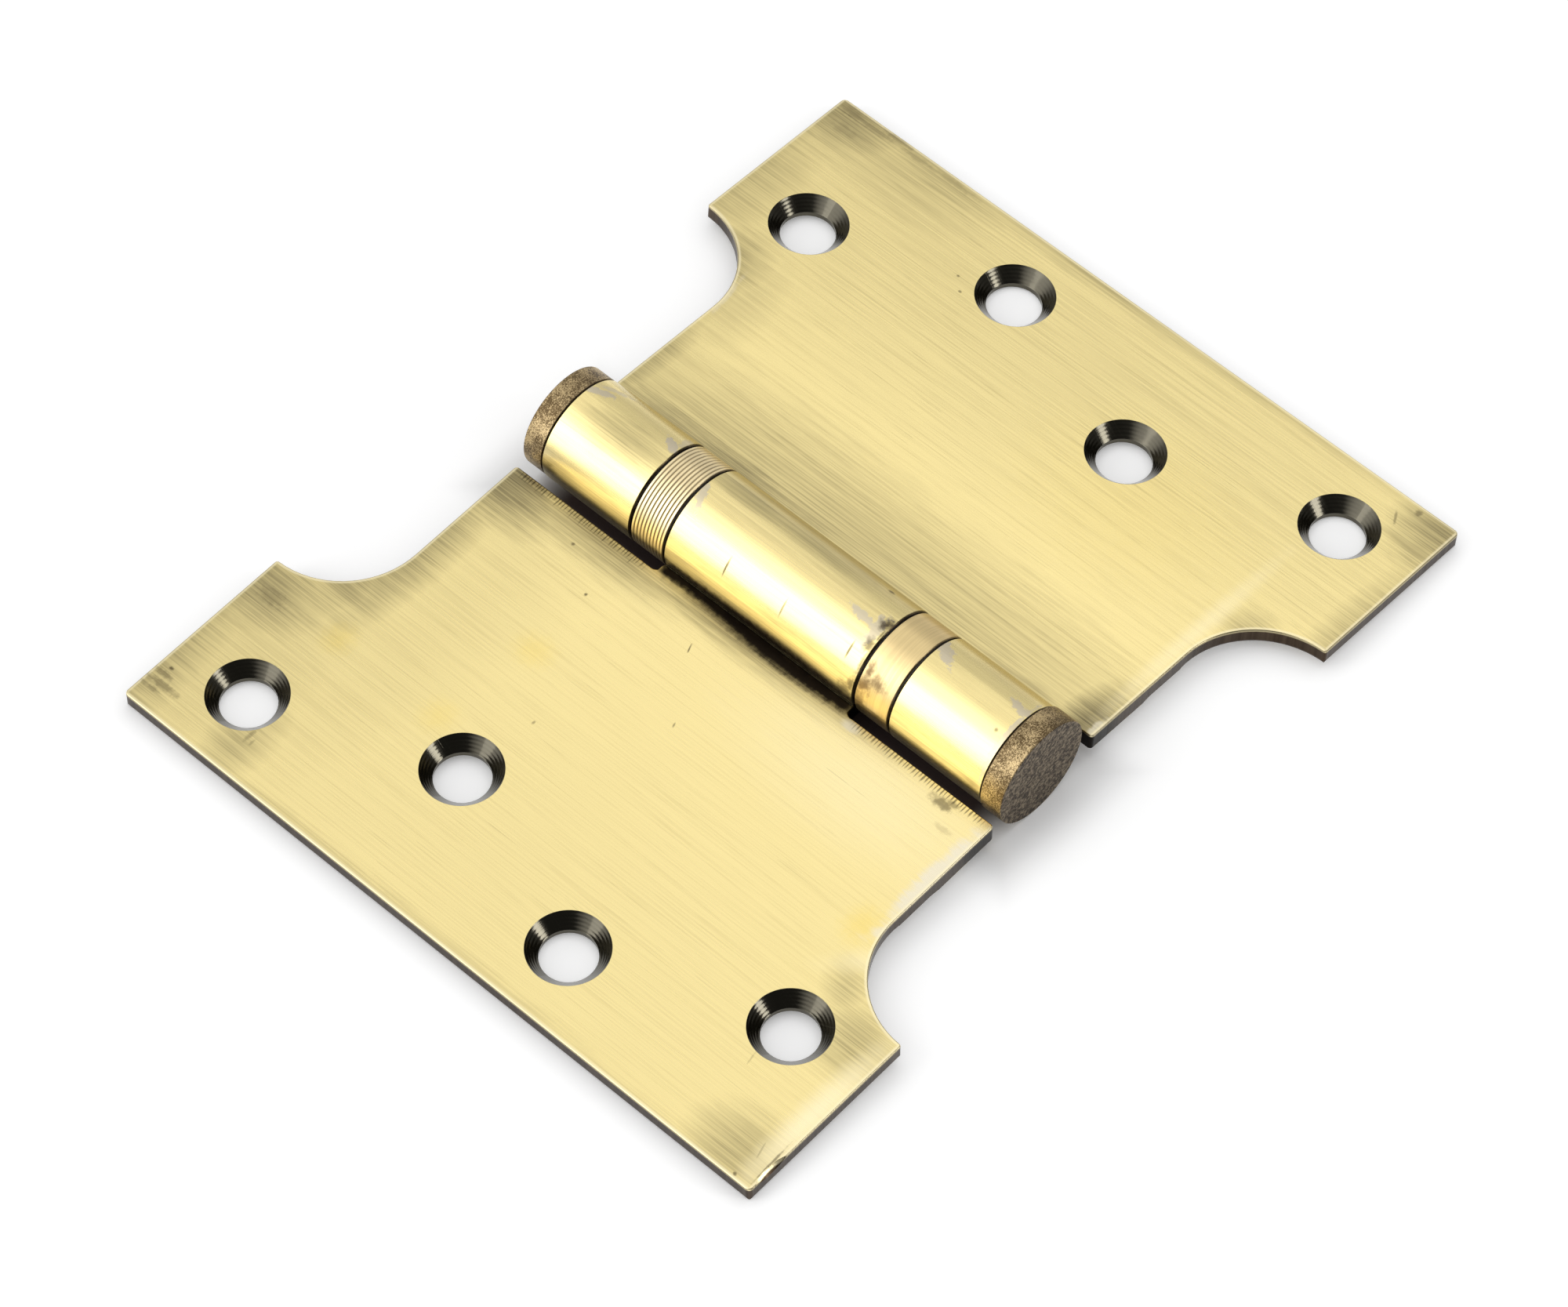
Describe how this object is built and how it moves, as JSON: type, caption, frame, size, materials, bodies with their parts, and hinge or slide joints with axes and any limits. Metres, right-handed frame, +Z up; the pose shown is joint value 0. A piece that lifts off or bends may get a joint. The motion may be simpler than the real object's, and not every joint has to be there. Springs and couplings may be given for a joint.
{
  "type": "parliament hinge",
  "caption": "Parliament hinge with two notched sheet leaves, rolled knuckles, ball bearings, end caps and countersunk screw holes, lying open.",
  "frame": {"origin": "on the floor, straight below the barrel's axis and midway along the leaves", "axes": "+Z up, +Y along the barrel towards its far end, +X towards the leaf with the two outer knuckles"},
  "size_m": [0.1297, 0.102, 0.0148],
  "materials": {
    "leaf_brass": "brushed antique brass",
    "shell_brass": "turned brass",
    "cap_bronze": "brown bronze, grainy",
    "pin_steel": "ground steel",
    "race_steel": "hardened steel",
    "ball_steel": "polished steel",
    "cage_brass": "pressed brass"
  },
  "bodies": {
    "right_leaf": {"right_leaf": "leaf_brass", "hinge_pin": "pin_steel", "far_end_cap": "cap_bronze", "near_end_cap": "cap_bronze", "far_bearing_shell": "shell_brass", "near_bearing_shell": "shell_brass", "far_outer_race": "race_steel", "near_outer_race": "race_steel"},
    "left_leaf": {"left_leaf": "leaf_brass", "far_inner_race": "race_steel", "near_inner_race": "race_steel"},
    "far_ball_set": {"far_ball_1": "ball_steel", "far_ball_2": "ball_steel", "far_ball_3": "ball_steel", "far_ball_4": "ball_steel", "far_ball_5": "ball_steel", "far_ball_6": "ball_steel", "far_ball_7": "ball_steel", "far_ball_8": "ball_steel", "far_ball_9": "ball_steel", "far_ball_10": "ball_steel", "far_ball_11": "ball_steel", "far_ball_12": "ball_steel", "far_ball_cage": "cage_brass"},
    "near_ball_set": {"near_ball_1": "ball_steel", "near_ball_2": "ball_steel", "near_ball_3": "ball_steel", "near_ball_4": "ball_steel", "near_ball_5": "ball_steel", "near_ball_6": "ball_steel", "near_ball_7": "ball_steel", "near_ball_8": "ball_steel", "near_ball_9": "ball_steel", "near_ball_10": "ball_steel", "near_ball_11": "ball_steel", "near_ball_12": "ball_steel", "near_ball_cage": "cage_brass"}
  },
  "joints": [
    {"name": "leaf_hinge", "type": "hinge", "parent": "right_leaf", "child": "left_leaf", "pos_m": [0, 0, 0.0074], "axis": [0, 1, 0], "range_deg": [-117.8, 185.1]},
    {"name": "far_ball_roll", "type": "hinge", "parent": "right_leaf", "child": "far_ball_set", "pos_m": [0, 0, 0.0074], "axis": [0, 1, 0], "range_deg": [-58.95, 92.6]},
    {"name": "near_ball_roll", "type": "hinge", "parent": "right_leaf", "child": "near_ball_set", "pos_m": [0, 0, 0.0074], "axis": [0, 1, 0], "range_deg": [-58.95, 92.6]}
  ],
  "couplings": [
    {"joint": "far_ball_roll", "follows": "leaf_hinge", "ratio": 0.5},
    {"joint": "near_ball_roll", "follows": "leaf_hinge", "ratio": 0.5}
  ]
}
